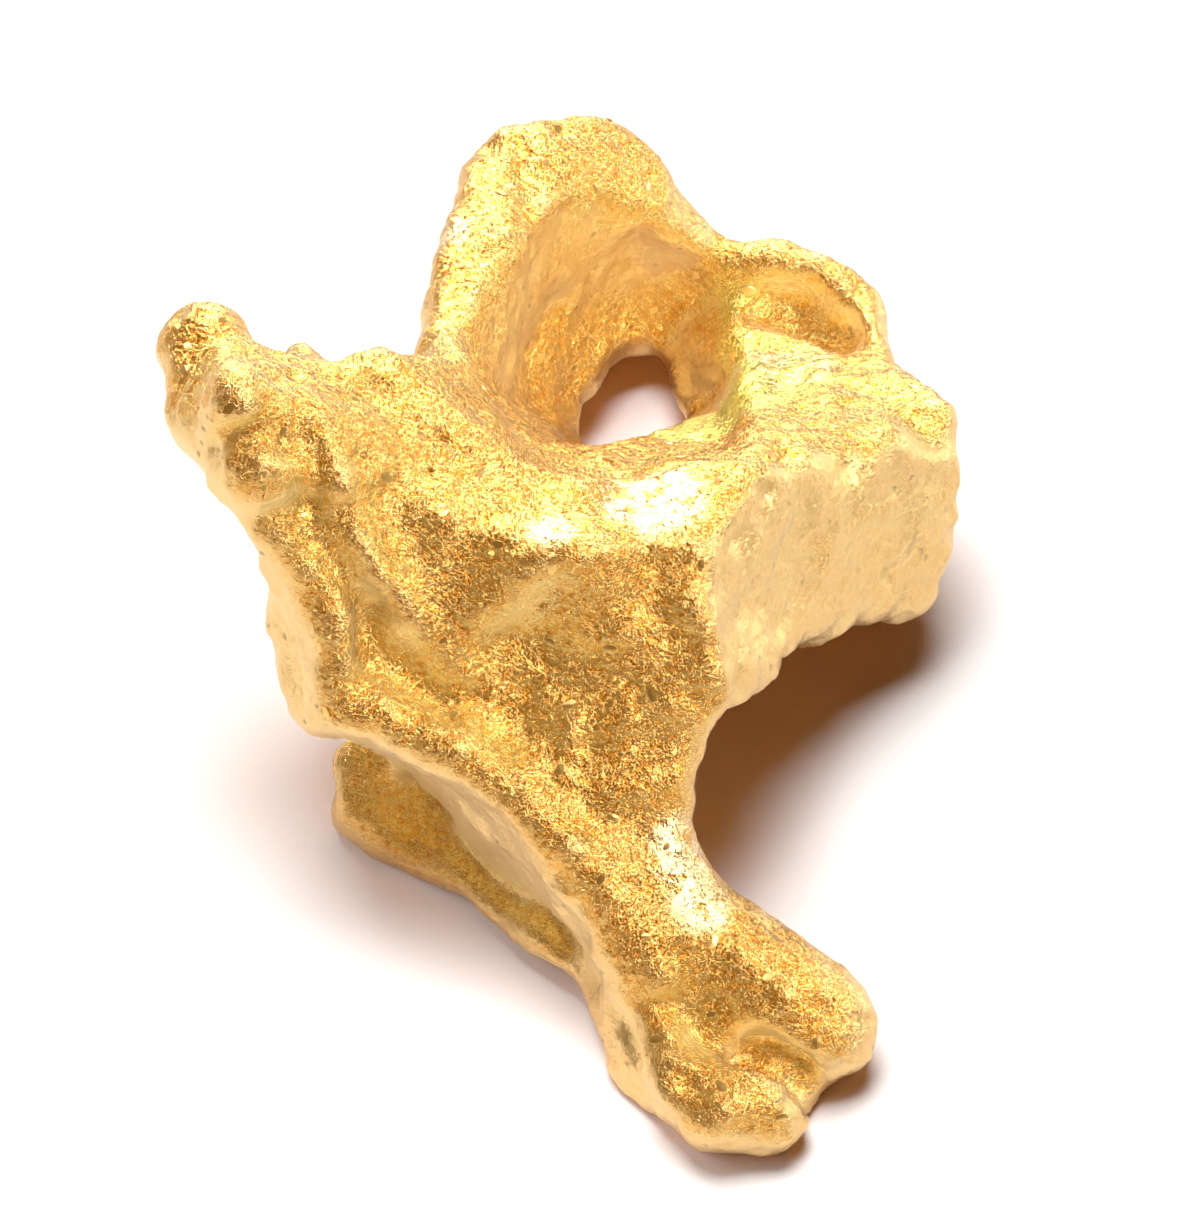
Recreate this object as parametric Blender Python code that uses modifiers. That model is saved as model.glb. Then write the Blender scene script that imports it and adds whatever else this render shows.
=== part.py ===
"""Gold nugget: one natural piece of native gold, about 20 mm long.

A horn with two knobs rises at the left, a saddle joins it to a faceted body, a torn cup
with a hole in its floor opens behind, and a leg with a foot runs forward to the ground.

The nugget is laid out as named lines of balls, each written (x, y, z, radius) in
millimetres: x to the right, y to the back, z up from the ground. A sheet stretches
between two lines, a limb follows one line, and together they are fused into one skin,
smoothed, worked with ridges and hollows, roughened and thinned to flat facets.
"""

import math

import bmesh
import bpy
from mathutils import Vector, geometry, noise

MM = 0.001

# Driving dimensions, in millimetres
VOXEL = 0.14
SMOOTHING_STEPS = 2
SMOOTHING_FACTOR = 0.5
TRIANGLES = 9600
CONTACT_HEIGHT = 0.25
FLAT_TOLERANCE = 0.03
UNEVENNESS = ((2.2, 0.18), (0.9, 0.12), (0.45, 0.06))  # (size of the lumps, their height)

GOLD = (0.98, 0.68, 0.20, 1.0)
GOLD_ROUGHNESS = 0.32

# Horn, which leans up to the left and ends in two knobs
REAR_KNOB = (-6.5, 1.7, 8.7, 0.97)
FRONT_KNOB = (-5.8, -0.8, 10.1, 0.8)
CHIN = (-5.5, -1.5, 9.3, 0.98)
NECK = (-6.6, 0.3, 8.8, 0.75)
HORN_EDGE = [
    (-5.2, -2.2, 8.3, 0.4),
    (-4.4, -3.0, 7.2, 0.36),
    (-4.2, -3.5, 6.5, 0.34),
    (-4.0, -4.1, 5.6, 0.36),
]
HORN_FLANK = [
    (-5.1, -1.9, 6.3, 0.36),
    (-5.0, -2.5, 5.5, 0.36),
    (-4.8, -3.2, 4.9, 0.38),
    (-4.5, -3.8, 5.0, 0.36),
]
HORN_HOLLOW = [
    (-4.6, -1.0, 8.8, 0.4),
    (-4.6, -1.8, 7.8, 0.4),
    (-3.9, -2.3, 6.6, 0.4),
    (-3.5, -2.5, 5.6, 0.4),
    (-3.0, -3.2, 5.1, 0.4),
]
HORN_RIB = [
    (-4.4, -0.7, 9.5, 0.4),
    (-4.1, -1.6, 9.0, 0.36),
    (-3.7, -2.3, 8.0, 0.36),
    (-3.0, -2.8, 7.0, 0.36),
    (-2.5, -3.1, 6.4, 0.36),
]
HORN_TROUGH = [
    (-3.5, -0.2, 8.8, 0.4),
    (-3.3, -1.1, 8.1, 0.4),
    (-2.8, -2.1, 7.3, 0.4),
    (-2.3, -2.7, 6.4, 0.4),
]
HORN_CREST = [
    (-5.5, 1.0, 8.9, 0.5),
    (-4.5, 0.9, 8.6, 0.45),
    (-3.2, 1.1, 8.4, 0.62),
    (-2.3, 0.4, 8.1, 0.45),
    (-1.2, -0.3, 7.6, 0.45),
]
CREST_LUMP = (-4.9, 1.9, 8.2, 0.4)

# Body: the saddle behind, and the face that looks forward
SADDLE = [
    (-1.2, -0.3, 7.6, 0.45),
    (-0.1, -0.7, 7.4, 0.5),
    (0.9, -0.6, 7.1, 0.45),
    (2.1, -0.2, 7.0, 0.5),
    (3.4, 0.0, 6.9, 0.5),
]
BROW = [
    (-1.7, -1.7, 7.5, 0.45),
    (-0.7, -2.2, 7.6, 0.45),
    (0.4, -2.1, 7.5, 0.42),
    (1.5, -1.9, 7.5, 0.4),
    (2.4, -1.6, 7.3, 0.4),
]
WEST_SLOPE = [
    (-2.3, -1.5, 7.5, 0.55),
    (-1.7, -2.4, 6.9, 0.55),
    (-1.6, -3.0, 5.8, 0.55),
    (-1.0, -3.9, 4.9, 0.55),
    (-0.1, -5.2, 4.0, 0.5),
]
FACET_LEFT = [
    (-0.5, -2.9, 6.0, 0.5),
    (-0.2, -3.7, 5.3, 0.5),
    (0.2, -4.5, 4.6, 0.5),
    (0.7, -5.6, 3.7, 0.5),
]
FACET_MIDDLE = [
    (1.1, -3.0, 5.9, 0.6),
    (1.2, -4.1, 4.9, 0.64),
    (1.4, -5.1, 3.9, 0.68),
]
FACET_RIGHT = [
    (2.4, -2.7, 6.4, 0.42),
    (2.6, -3.5, 5.6, 0.4),
    (2.2, -4.1, 5.0, 0.45),
    (1.9, -4.8, 4.1, 0.5),
]
BAND = [
    (-4.0, -4.1, 5.6, 0.36),
    (-3.4, -4.3, 5.5, 0.36),
    (-2.7, -4.5, 5.3, 0.38),
    (-2.0, -4.8, 5.1, 0.4),
    (-1.0, -5.3, 4.6, 0.42),
    (-0.1, -6.1, 3.8, 0.45),
    (0.7, -6.8, 3.1, 0.5),
    (1.3, -7.5, 2.4, 0.5),
    (1.6, -8.0, 1.7, 0.45),
]

# Right wall, which hangs over an open arch
WALL_TOP = [
    (3.4, 0.0, 6.9, 0.5),
    (4.7, 1.2, 5.8, 0.45),
    (6.0, 2.3, 5.0, 0.45),
    (7.0, 2.7, 4.0, 0.52),
]
WALL_MIDDLE = [
    (2.4, -1.9, 7.0, 0.4),
    (3.4, -1.0, 5.9, 0.45),
    (5.0, 0.8, 4.6, 0.45),
    (6.9, 2.1, 3.0, 0.52),
]
WALL_LOW = [
    (2.5, -2.9, 6.0, 0.36),
    (3.4, -1.6, 4.9, 0.38),
    (4.6, -0.2, 3.8, 0.38),
    (6.5, 1.4, 2.2, 0.46),
]
WALL_FOOT = [
    (2.9, -3.5, 5.2, 0.32),
    (3.5, -2.5, 4.7, 0.34),
    (4.0, -1.3, 4.2, 0.34),
    (5.1, 0.1, 3.1, 0.36),
    (6.1, 1.1, 1.9, 0.4),
    (6.5, 1.7, 1.7, 0.4),
]

# Cup: a broad torn rim, a floor with a hole, and an outer wall down to the ground
RIM_OUTER = [
    (-2.1, 2.0, 7.1, 0.5),
    (-2.3, 3.9, 6.5, 0.5),
    (-2.1, 5.4, 6.2, 0.45),
    (-1.9, 7.0, 6.0, 0.45),
    (-1.5, 8.4, 5.8, 0.5),
    (-0.8, 9.3, 5.7, 0.5),
    (0.0, 9.8, 5.3, 0.5),
    (1.0, 9.9, 4.8, 0.5),
    (1.7, 9.5, 4.3, 0.5),
    (2.1, 9.1, 3.7, 0.45),
]
RIM_INNER = [
    (-2.1, 2.1, 6.9, 0.4),
    (-2.0, 3.9, 6.6, 0.35),
    (-1.5, 5.3, 6.4, 0.38),
    (-1.0, 6.9, 6.1, 0.4),
    (-0.4, 8.0, 5.7, 0.42),
    (0.4, 8.6, 5.2, 0.42),
    (1.2, 8.8, 4.6, 0.42),
    (1.9, 8.7, 4.0, 0.4),
]
CUP_WAIST = [
    (-1.6, 2.6, 4.4, 0.4),
    (-1.5, 4.3, 3.5, 0.4),
    (-1.2, 5.8, 3.4, 0.4),
    (-0.7, 7.3, 3.4, 0.4),
    (0.3, 8.4, 3.3, 0.4),
    (1.3, 8.9, 3.0, 0.4),
    (2.0, 8.8, 2.6, 0.4),
]
RIM_RIGHT = [
    (2.8, 8.7, 3.1, 0.35),
    (3.3, 8.5, 3.1, 0.42),
    (4.0, 8.4, 3.2, 0.45),
    (4.9, 8.1, 3.1, 0.48),
    (5.6, 7.4, 3.0, 0.48),
    (5.8, 6.3, 3.1, 0.45),
    (6.1, 4.9, 3.7, 0.5),
    (6.9, 3.6, 4.3, 0.55),
    (7.0, 2.7, 4.0, 0.52),
]
SHELF = [
    (2.5, 7.6, 1.6, 0.4),
    (3.6, 6.4, 2.6, 0.45),
    (4.8, 5.2, 3.5, 0.45),
    (5.8, 4.0, 4.1, 0.45),
]
SHELF_HOLLOW = [
    (3.2, 8.1, 2.5, 0.35),
    (4.1, 7.6, 2.3, 0.35),
    (5.1, 6.6, 2.8, 0.35),
]
FLOOR = [
    (-0.1, 5.3, 1.4, 0.4),
    (-0.2, 6.5, 1.4, 0.4),
    (0.4, 7.6, 1.5, 0.4),
    (1.2, 8.3, 1.3, 0.35),
    (2.0, 8.1, 1.2, 0.35),
    (2.3, 7.1, 1.1, 0.35),
    (2.9, 6.1, 1.1, 0.4),
    (1.7, 5.2, 1.0, 0.35),
    (0.8, 4.9, 1.1, 0.35),
]
CUP_FOOT = [
    (-1.8, 1.8, 1.3, 0.45),
    (-2.2, 3.8, 0.7, 0.4),
    (-2.2, 5.6, 0.4, 0.4),
    (-1.5, 7.6, 0.4, 0.4),
    (-0.2, 8.9, 0.6, 0.4),
    (1.3, 9.2, 0.7, 0.4),
    (2.8, 8.6, 0.8, 0.4),
    (4.4, 7.5, 1.1, 0.4),
    (5.4, 6.1, 1.4, 0.4),
    (5.9, 4.4, 1.5, 0.4),
    (6.2, 3.0, 1.7, 0.4),
]

# Front wall: a groove runs above the thin lip, and a lump rests on the ground at its left
LEFT_LUMP = [
    (-3.9, -2.4, 1.6, 0.58),
    (-3.8, -2.8, 0.9, 0.75),
    (-3.3, -3.4, 0.5, 0.52),
]
GROOVE = [
    (-3.0, -2.4, 2.4, 0.25),
    (-2.6, -2.3, 1.4, 0.25),
    (-2.1, -3.0, 1.2, 0.25),
    (-1.4, -4.1, 1.4, 0.25),
    (-0.6, -5.1, 1.5, 0.25),
    (0.2, -6.0, 1.4, 0.25),
    (1.0, -7.1, 1.1, 0.25),
]
LIP = [
    (-3.2, -3.4, 0.4, 0.42),
    (-2.5, -3.8, 0.5, 0.3),
    (-1.7, -4.4, 0.7, 0.3),
    (-1.0, -5.3, 0.8, 0.28),
    (-0.2, -6.1, 0.9, 0.28),
    (0.5, -6.8, 0.9, 0.3),
    (0.8, -7.5, 0.7, 0.28),
    (1.1, -8.2, 0.4, 0.28),
    (1.6, -9.0, 0.3, 0.3),
]

# Leg and foot, with a hollow between them
LEG = [
    (1.5, -5.6, 3.1, 0.9),
    (2.2, -6.4, 2.4, 1.08),
    (3.0, -7.0, 1.9, 1.18),
    (3.8, -7.6, 1.5, 1.2),
    (4.7, -8.0, 1.2, 1.02),
]
LEG_SKIRT = [
    (3.9, -9.5, 0.5, 0.3),
    (4.4, -8.6, 0.3, 0.3),
    (4.9, -8.4, 0.3, 0.3),
    (5.0, -7.9, 0.6, 0.4),
]
HOLLOW_BACK = [
    (2.8, -8.9, 0.5, 0.45),
    (3.5, -8.3, 0.5, 0.4),
]
FOOT = [
    (1.9, -9.0, 1.6, 0.5),
    (2.2, -9.4, 1.3, 0.75),
    (2.6, -9.6, 1.0, 0.95),
    (3.2, -9.6, 1.0, 0.92),
    (3.6, -9.7, 0.9, 0.7),
    (4.0, -9.6, 0.7, 0.38),
]

# Masses inside, which the lines above are tied to
BODY_CORE = (0.6, -1.4, 4.2, 1.8)
LEFT_CORE = (-3.0, -0.6, 4.4, 1.3)
BELLY = (-0.8, -1.6, 2.8, 0.9)
LEFT_POST = (-2.7, -1.2, 2.2, 0.6)
BELLY_LINE = [
    (-2.6, -2.0, 0.9, 0.4),
    (-0.9, -2.6, 1.0, 0.4),
    (0.6, -4.6, 1.2, 0.4),
    (1.6, -7.0, 0.8, 0.4),
]

# Lumps on the outside of the cup and under the horn
OUTER_LUMPS = [
    ((0.4, 9.6, 2.6, 0.7), RIM_OUTER[6]),
    ((-1.9, 7.6, 2.9, 0.7), RIM_OUTER[3]),
    ((-2.3, 5.0, 3.8, 0.7), RIM_OUTER[1]),
    ((-3.3, 1.2, 5.6, 0.9), HORN_CREST[2]),
    ((-1.6, 1.9, 3.2, 0.9), RIM_OUTER[0]),
    ((4.7, 7.6, 1.9, 0.6), RIM_RIGHT[3]),
    ((6.2, 4.7, 2.3, 0.6), RIM_RIGHT[7]),
]


# Ridges and hollows worked into the skin: (line of points, how wide, how high), a hollow
# being a negative height
RELIEF = [
    # Left edge of the horn, and the rib beside it
    ([(-5.5, -2.4, 8.7), (-4.7, -2.6, 8.2), (-4.1, -2.9, 7.5), (-3.9, -3.8, 6.6)], 0.45, 0.16),
    ([(-4.3, -1.0, 9.7), (-4.0, -1.9, 9.0), (-3.6, -2.5, 8.2), (-2.9, -3.0, 7.3)], 0.45, 0.1),
    # Brow between the saddle and the face
    ([(-0.8, -2.7, 7.6), (-0.1, -2.5, 7.9), (0.8, -2.2, 7.9), (2.4, -1.9, 7.5)], 0.45, 0.08),
    # Corner between the face and the right wall
    ([(2.4, -2.1, 7.4), (2.3, -2.7, 7.0), (2.6, -3.5, 6.3), (2.8, -3.9, 5.6)], 0.4, 0.14),
    # Edge of the overhang
    ([(-3.2, -4.2, 5.9), (-2.2, -4.4, 5.6), (-1.1, -5.1, 5.0), (0.1, -6.2, 4.3)], 0.45, 0.12),
    ([(0.1, -6.2, 4.3), (1.0, -7.1, 3.4), (1.8, -8.0, 2.5)], 0.45, 0.12),
    # Short rib below the face
    ([(0.1, -4.1, 5.5), (0.0, -4.6, 5.1), (0.1, -5.1, 4.8)], 0.35, 0.12),
    # Foot of the horn's trough, and the crease between knob and chin
    ([(-3.6, -3.0, 7.0), (-3.3, -3.3, 6.4), (-2.6, -3.5, 6.0)], 1.0, -0.2),
    ([(-6.1, -1.3, 10.0), (-5.6, -1.5, 10.2), (-5.0, -1.5, 10.0)], 0.4, -0.2),
    # Valley at the left of the face
    ([(-0.9, -3.1, 6.4), (-0.8, -3.6, 5.8), (-0.7, -4.2, 5.3)], 0.8, -0.12),
    # Pits in the right wall and at its top
    ([(3.3, -2.1, 6.1), (3.6, -1.8, 5.7)], 0.5, -0.25),
    ([(3.6, 0.5, 7.1), (4.0, 0.9, 6.7)], 0.4, -0.2),
    # Deep recess beside the left lump, and the groove above the lip
    ([(-2.7, -3.3, 1.7), (-2.7, -3.4, 1.4)], 0.75, -0.6),
    ([(-2.2, -3.7, 1.3), (-1.5, -4.8, 1.2), (-0.6, -5.6, 1.5), (0.1, -6.3, 1.5)], 0.4, -0.25),
    # Hollow between leg and foot, and the dimple on the foot
    ([(3.3, -8.9, 1.6), (4.0, -9.1, 1.4), (4.4, -9.3, 1.1)], 0.6, -0.6),
    ([(2.0, -9.6, 1.9), (2.3, -9.8, 1.9)], 0.35, -0.2),
    # Groove at the left of the foot
    ([(0.7, -7.9, 1.6), (1.0, -8.4, 1.5), (1.3, -8.8, 1.4)], 0.35, -0.2),
    # Crack across the rim of the cup, and the hollow beside the shelf
    ([(-0.9, 9.0, 6.2), (-0.8, 8.0, 6.3), (-0.7, 6.9, 6.3)], 0.3, -0.22),
    ([(5.0, 6.8, 3.2), (5.5, 6.0, 3.4)], 0.45, -0.2),
    ([(3.9, 7.6, 3.0), (4.6, 7.3, 3.0), (5.1, 6.9, 3.0)], 0.75, -0.45),
]


def ball_points(ball):
    """The points of an icosphere that stands for one ball of a line."""
    x, y, z, radius = ball
    bm = bmesh.new()
    bmesh.ops.create_icosphere(bm, subdivisions=2, radius=radius)
    points = [vert.co + Vector((x, y, z)) for vert in bm.verts]
    bm.free()
    return points


def wrap(skin, *balls):
    """Adds the tightest closed skin round these balls."""
    bm = bmesh.new()
    verts = [bm.verts.new(point) for ball in balls for point in ball_points(ball)]
    result = bmesh.ops.convex_hull(bm, input=verts, use_existing_faces=False)
    inside = {item for item in result["geom_interior"] if isinstance(item, bmesh.types.BMVert)}
    bmesh.ops.delete(bm, geom=list(inside), context="VERTS")
    mesh = bpy.data.meshes.new("wrap")
    bm.to_mesh(mesh)
    bm.free()
    skin.from_mesh(mesh)
    bpy.data.meshes.remove(mesh)


def limb(skin, line):
    for first, second in zip(line, line[1:]):
        wrap(skin, first, second)


def reach(line):
    """How far along the line each ball is, from 0 to 1."""
    steps = [math.dist(a[:3], b[:3]) for a, b in zip(line, line[1:])]
    total = sum(steps) or 1.0
    return [sum(steps[:i]) / total for i in range(len(line))]


def sheet(skin, left, right):
    """Fills the space between two lines with triangles as thick as their balls."""
    at_left = reach(left)
    at_right = reach(right)
    i = j = 0
    while i < len(left) - 1 or j < len(right) - 1:
        left_next = at_left[i + 1] if i < len(left) - 1 else math.inf
        right_next = at_right[j + 1] if j < len(right) - 1 else math.inf
        if left_next <= right_next:
            wrap(skin, left[i], left[i + 1], right[j])
            i += 1
        else:
            wrap(skin, left[i], right[j], right[j + 1])
            j += 1


def horn(skin):
    wrap(skin, REAR_KNOB)
    wrap(skin, FRONT_KNOB)
    wrap(skin, CHIN)
    wrap(skin, FRONT_KNOB[:3] + (0.6,), CHIN[:3] + (0.7,), NECK[:3] + (0.5,))
    wrap(skin, REAR_KNOB[:3] + (0.85,), NECK)
    wrap(skin, NECK, CHIN[:3] + (0.7,), LEFT_CORE[:3] + (0.8,))
    wrap(skin, REAR_KNOB[:3] + (0.6,), FRONT_KNOB[:3] + (0.4,), HORN_RIB[0])
    wrap(skin, REAR_KNOB[:3] + (0.6,), HORN_RIB[0], HORN_CREST[0])
    wrap(skin, REAR_KNOB[:3] + (0.6,), CHIN[:3] + (0.5,), LEFT_CORE[:3] + (0.6,))
    wrap(skin, CHIN[:3] + (0.6,), HORN_EDGE[0], HORN_HOLLOW[1])
    wrap(skin, CHIN[:3] + (0.6,), HORN_HOLLOW[0], HORN_HOLLOW[1])
    wrap(skin, FRONT_KNOB[:3] + (0.5,), HORN_HOLLOW[0], HORN_RIB[0])
    wrap(skin, CREST_LUMP, HORN_CREST[1])
    sheet(skin, HORN_EDGE, HORN_HOLLOW[1:])
    sheet(skin, HORN_HOLLOW, HORN_RIB)
    sheet(skin, HORN_RIB, HORN_TROUGH)
    sheet(skin, HORN_TROUGH, HORN_CREST[1:])
    wrap(skin, HORN_RIB[0], HORN_CREST[0], HORN_CREST[1])
    sheet(skin, HORN_EDGE, HORN_FLANK)
    for line in (HORN_EDGE, HORN_FLANK, HORN_HOLLOW, HORN_RIB, HORN_TROUGH, HORN_CREST):
        sheet(skin, [LEFT_CORE], line)


def body(skin):
    wrap(skin, BODY_CORE, LEFT_CORE)
    wrap(skin, BODY_CORE, LEFT_CORE, BELLY)
    sheet(skin, SADDLE, BROW)
    wrap(skin, SADDLE[0], BROW[0], HORN_TROUGH[1])
    wrap(skin, SADDLE[0], HORN_TROUGH[1], HORN_CREST[3])
    sheet(skin, HORN_TROUGH[1:], WEST_SLOPE[:3])
    wrap(skin, HORN_TROUGH[3], HORN_RIB[4], WEST_SLOPE[2])
    wrap(skin, BROW[0], WEST_SLOPE[0], WEST_SLOPE[1])
    sheet(skin, WEST_SLOPE[1:], [BROW[1]] + FACET_LEFT)
    sheet(skin, [BROW[1]] + FACET_LEFT, [BROW[2]] + FACET_MIDDLE)
    sheet(skin, [BROW[3]] + FACET_MIDDLE, [BROW[4]] + FACET_RIGHT)
    wrap(skin, BROW[2], BROW[3], FACET_MIDDLE[0])
    sheet(skin, HORN_HOLLOW[3:] + [WEST_SLOPE[3]], BAND[:5])
    sheet(skin, HORN_HOLLOW[3:] + [WEST_SLOPE[3]], [HORN_RIB[4], WEST_SLOPE[2]])
    sheet(skin, WEST_SLOPE[3:], BAND[4:7])
    for line in (SADDLE, BROW, WEST_SLOPE, FACET_LEFT, FACET_MIDDLE, FACET_RIGHT, BAND[4:7]):
        sheet(skin, [BODY_CORE], line)
    sheet(skin, [LEFT_CORE], BAND[:5])


def right_wall(skin):
    sheet(skin, WALL_TOP, WALL_MIDDLE)
    wrap(skin, BROW[4], SADDLE[4], WALL_MIDDLE[1])
    sheet(skin, WALL_MIDDLE, WALL_LOW)
    sheet(skin, WALL_LOW, WALL_FOOT)
    sheet(skin, [BODY_CORE], WALL_TOP[:2])
    sheet(skin, [BODY_CORE], WALL_LOW[:3])
    sheet(skin, [BODY_CORE], WALL_FOOT[:4])


def cup(skin):
    sheet(skin, RIM_OUTER, RIM_INNER)
    sheet(skin, RIM_OUTER, CUP_FOOT[:7])
    sheet(skin, RIM_INNER, CUP_WAIST)
    sheet(skin, CUP_WAIST, FLOOR[:5])
    wrap(skin, CUP_WAIST[6], RIM_INNER[7], RIM_RIGHT[0])
    wrap(skin, CUP_WAIST[6], RIM_RIGHT[0], FLOOR[4])
    wrap(skin, RIM_OUTER[9], RIM_INNER[7], RIM_RIGHT[0])
    wrap(skin, RIM_RIGHT[0], FLOOR[4], SHELF_HOLLOW[0])
    sheet(skin, RIM_RIGHT, CUP_FOOT[6:])
    sheet(skin, RIM_RIGHT[:6], SHELF_HOLLOW)
    sheet(skin, SHELF_HOLLOW, SHELF)
    sheet(skin, RIM_RIGHT[5:8], SHELF[2:])
    sheet(skin, FLOOR[4:7], SHELF[:2])
    sheet(skin, [FLOOR[6]] + SHELF[1:], WALL_TOP)
    wrap(skin, SHELF[3], RIM_RIGHT[7], WALL_TOP[3])
    sheet(skin, [WALL_TOP[0]] + SADDLE[3::-1] + [CUP_WAIST[0]], FLOOR[6:] + [FLOOR[0]])
    wrap(skin, CUP_WAIST[0], RIM_INNER[0], SADDLE[0])
    sheet(skin, [HORN_CREST[3], RIM_INNER[0]], [SADDLE[0], FLOOR[0]])
    wrap(skin, HORN_CREST[2], HORN_CREST[3], RIM_OUTER[0])


def underside(skin):
    sheet(skin, FLOOR[:7], CUP_FOOT[1:])
    sheet(skin, WALL_FOOT, [FLOOR[8], FLOOR[7], FLOOR[6], CUP_FOOT[9], CUP_FOOT[10]])
    sheet(skin, [BODY_CORE], FLOOR[6:] + [FLOOR[0]])
    sheet(skin, [LEFT_CORE], RIM_OUTER[:2])
    sheet(skin, [LEFT_CORE, BELLY], [CUP_FOOT[0], CUP_FOOT[1], FLOOR[0]])
    for lump, neighbour in OUTER_LUMPS:
        wrap(skin, lump, neighbour[:3] + (0.3,))


def front_wall(skin):
    sheet(skin, BAND[:8], GROOVE)
    sheet(skin, GROOVE, LIP)
    sheet(skin, BAND[7:], LIP[6:])
    sheet(skin, [BELLY], GROOVE)
    sheet(skin, BELLY_LINE, LIP)
    sheet(skin, [BELLY, BODY_CORE], BELLY_LINE)
    sheet(skin, BELLY_LINE[2:], LEG[:3])
    limb(skin, LEFT_LUMP)
    wrap(skin, LEFT_LUMP[0], LEFT_LUMP[1], LEFT_POST)
    wrap(skin, LEFT_LUMP[1], LEFT_POST, BELLY_LINE[0])
    wrap(skin, LEFT_POST, LEFT_CORE, BELLY)
    sheet(skin, [LEFT_CORE, LEFT_POST], GROOVE[:2])
    wrap(skin, LEFT_CORE[:3] + (0.6,), HORN_FLANK[3], BAND[0], GROOVE[0])
    wrap(skin, LEFT_POST, BELLY_LINE[0], BELLY)


def leg_and_foot(skin):
    limb(skin, LEG)
    sheet(skin, LEG[:3], BAND[5:8])
    wrap(skin, LEG[0], FACET_RIGHT[3], FACET_MIDDLE[2])
    limb(skin, LEG_SKIRT)
    wrap(skin, LEG_SKIRT[1], LEG_SKIRT[2], HOLLOW_BACK[1])
    limb(skin, HOLLOW_BACK)
    wrap(skin, HOLLOW_BACK[0], FOOT[2], LIP[8])
    wrap(skin, HOLLOW_BACK[0], HOLLOW_BACK[1], LEG[2])
    limb(skin, FOOT)
    wrap(skin, BAND[8], FOOT[0], LIP[7])


def fused_skin():
    """One closed mesh round every sheet and limb."""
    skin = bmesh.new()
    for part in (horn, body, right_wall, cup, underside, front_wall, leg_and_foot):
        part(skin)
    mesh = bpy.data.meshes.new("layout")
    skin.to_mesh(mesh)
    skin.free()
    layout = bpy.data.objects.new("layout", mesh)
    bpy.context.scene.collection.objects.link(layout)
    remesh = layout.modifiers.new("fuse", "REMESH")
    remesh.mode = "VOXEL"
    remesh.voxel_size = VOXEL
    return apply_modifiers(layout)


def apply_modifiers(obj):
    """The object's evaluated mesh, with the object removed."""
    graph = bpy.context.evaluated_depsgraph_get()
    graph.update()
    mesh = bpy.data.meshes.new_from_object(obj.evaluated_get(graph))
    bpy.data.objects.remove(obj)
    return mesh


def keep_largest_shell(bm):
    """Removes the walls of any sealed hollow, so that the gold is solid."""
    unseen = set(bm.verts)
    shells = []
    while unseen:
        shell = [unseen.pop()]
        for vert in shell:
            for edge in vert.link_edges:
                other = edge.other_vert(vert)
                if other in unseen:
                    unseen.remove(other)
                    shell.append(other)
        shells.append(shell)
    shells.sort(key=len)
    for shell in shells[:-1]:
        bmesh.ops.delete(bm, geom=shell, context="VERTS")


def roughen(bm):
    """Adds the soft unevenness of a water-worn nugget."""
    bm.normal_update()
    moves = []
    for vert in bm.verts:
        height = sum(
            amount * noise.noise(vert.co / size + Vector((size, 0, 0)))
            for size, amount in UNEVENNESS
        )
        moves.append(vert.normal * height)
    for vert, move in zip(bm.verts, moves):
        vert.co += move


def distance_to(line, point):
    """How far the point is from the nearest stretch of the line."""
    distances = []
    for first, second in zip(line, line[1:]):
        nearest, along = geometry.intersect_point_line(point, first, second)
        if along < 0.0:
            nearest = Vector(first)
        elif along > 1.0:
            nearest = Vector(second)
        distances.append((point - nearest).length)
    return min(distances)


def work_in(bm, line, width, height):
    """Raises a ridge along the line, or sinks a hollow, with soft sides."""
    bm.normal_update()
    middle = Vector([sum(values) / len(line) for values in zip(*line)])
    span = width + max((Vector(point) - middle).length for point in line)
    moves = []
    for vert in bm.verts:
        if (vert.co - middle).length < span:
            distance = distance_to(line, vert.co)
            if distance < width:
                share = 1.0 - (distance / width) ** 2
                moves.append((vert, vert.normal * height * share**2))
    for vert, move in moves:
        vert.co += move


def resting_middle(bm):
    """The point of the ground under the middle of the nugget."""
    spans = [[vert.co[axis] for vert in bm.verts] for axis in range(3)]
    across, deep, high = spans
    return Vector(
        (
            (min(across) + max(across)) / 2,
            (min(deep) + max(deep)) / 2,
            min(high) + CONTACT_HEIGHT,
        )
    )


def settle(bm):
    """Flattens the nugget where it rests and brings its origin under its middle."""
    middle = resting_middle(bm)
    for vert in bm.verts:
        vert.co -= middle
        vert.co.z = max(vert.co.z, 0.0)


def thinned(mesh):
    """The same surface with no more than TRIANGLES flat facets."""
    block = bpy.data.objects.new("block", mesh)
    bpy.context.scene.collection.objects.link(block)
    block.modifiers.new("triangles", "TRIANGULATE")
    decimate = block.modifiers.new("thin", "DECIMATE")
    decimate.ratio = TRIANGLES / sum(len(face.vertices) - 2 for face in mesh.polygons)
    return apply_modifiers(block)


def gold():
    material = bpy.data.materials.new("gold")
    material.use_nodes = True
    shader = material.node_tree.nodes["Principled BSDF"]
    shader.inputs["Base Color"].default_value = GOLD
    shader.inputs["Metallic"].default_value = 1.0
    shader.inputs["Roughness"].default_value = GOLD_ROUGHNESS
    return material


def shaped_skin():
    """The fused skin, smoothed and roughened, still in the frame of the lines."""
    bm = bmesh.new()
    bm.from_mesh(fused_skin())
    keep_largest_shell(bm)
    for _ in range(SMOOTHING_STEPS):
        bmesh.ops.smooth_vert(
            bm,
            verts=bm.verts,
            factor=SMOOTHING_FACTOR,
            use_axis_x=True,
            use_axis_y=True,
            use_axis_z=True,
        )
    for line, width, height in RELIEF:
        work_in(bm, line, width, height)
    roughen(bm)
    return bm


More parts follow.
